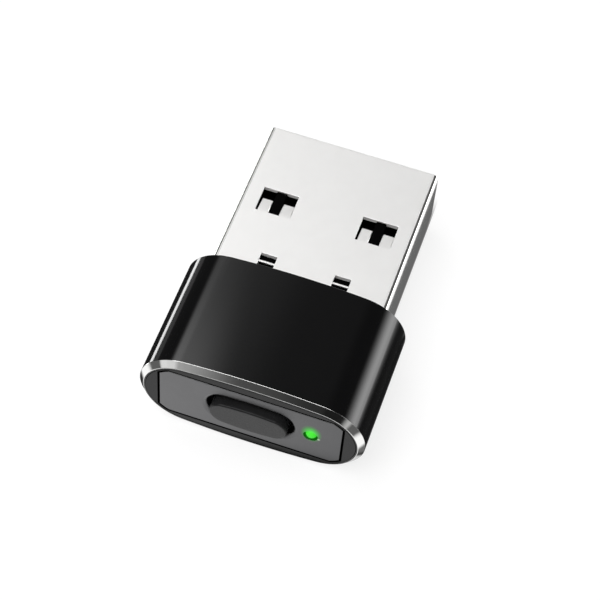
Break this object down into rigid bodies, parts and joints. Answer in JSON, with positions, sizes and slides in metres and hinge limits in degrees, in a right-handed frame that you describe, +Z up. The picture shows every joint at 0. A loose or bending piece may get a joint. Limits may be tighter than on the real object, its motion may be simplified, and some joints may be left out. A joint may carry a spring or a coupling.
{
  "type": "mouse jiggler",
  "caption": "Tiny plug-in mouse mover: a glossy black oval sleeve with a push button and a green indicator at the front, and a metal USB-A plug at the rear.",
  "frame": {"origin": "centre of the bounding box in X and Y, at the height of the flat under the sleeve", "axes": "+X across the width towards the indicator, +Y along the plug from the button to the plug tip, +Z up out of the face with the latch tongues"},
  "size_m": [0.0152, 0.022, 0.0069],
  "materials": {
    "sleeve_black": "gloss black coat with a bright cut bevel at the front",
    "bezel_black": "gloss",
    "plate_grey": "satin gloss",
    "button_black": "gloss",
    "lens_green": "lit green light guide",
    "plug_nickel": "bright nickel plate",
    "tongue_black": "matte",
    "contact_gold": "gold plate",
    "tray_black": "matte",
    "board_green": "solder mask",
    "switch_black": "matte",
    "switch_steel": "stamped",
    "led_white": "matte",
    "chip_black": "matte",
    "lead_tin": "tinned",
    "crystal_steel": "satin",
    "capacitor_tan": "fired",
    "resistor_black": "fired",
    "solder_tin": "reflowed"
  },
  "bodies": {
    "device": {"housing_sleeve": "sleeve_black", "front_bezel": "bezel_black", "faceplate": "plate_grey", "led_lens": "lens_green", "usb_shell": "plug_nickel", "usb_insulator": "tongue_black", "usb_rear_block": "tongue_black", "contact_vbus": "contact_gold", "contact_dminus": "contact_gold", "contact_dplus": "contact_gold", "contact_gnd": "contact_gold", "board_carrier": "tray_black", "circuit_board": "board_green", "tact_switch_body": "switch_black", "tact_switch_cover": "switch_steel", "tact_switch_terminals": "lead_tin", "led_chip": "led_white", "microcontroller": "chip_black", "microcontroller_leads": "lead_tin", "crystal": "crystal_steel", "voltage_regulator": "chip_black", "regulator_leads": "lead_tin", "capacitors": "capacitor_tan", "resistors": "resistor_black", "contact_solder": "solder_tin", "shell_solder": "solder_tin"},
    "button": {"button_cap": "button_black"},
    "plunger": {"tact_switch_plunger": "switch_black", "tact_switch_dome": "switch_steel"}
  },
  "joints": [
    {"name": "button_press", "type": "slide", "parent": "device", "child": "button", "axis": [0, 1, 0], "range_m": [0, 0.00025], "stiffness_N_per_m": 6000},
    {"name": "plunger_travel", "type": "slide", "parent": "device", "child": "plunger", "axis": [0, 1, 0], "range_m": [0, 0.00025]}
  ],
  "couplings": [
    {"joint": "plunger_travel", "follows": "button_press", "ratio": 1}
  ]
}
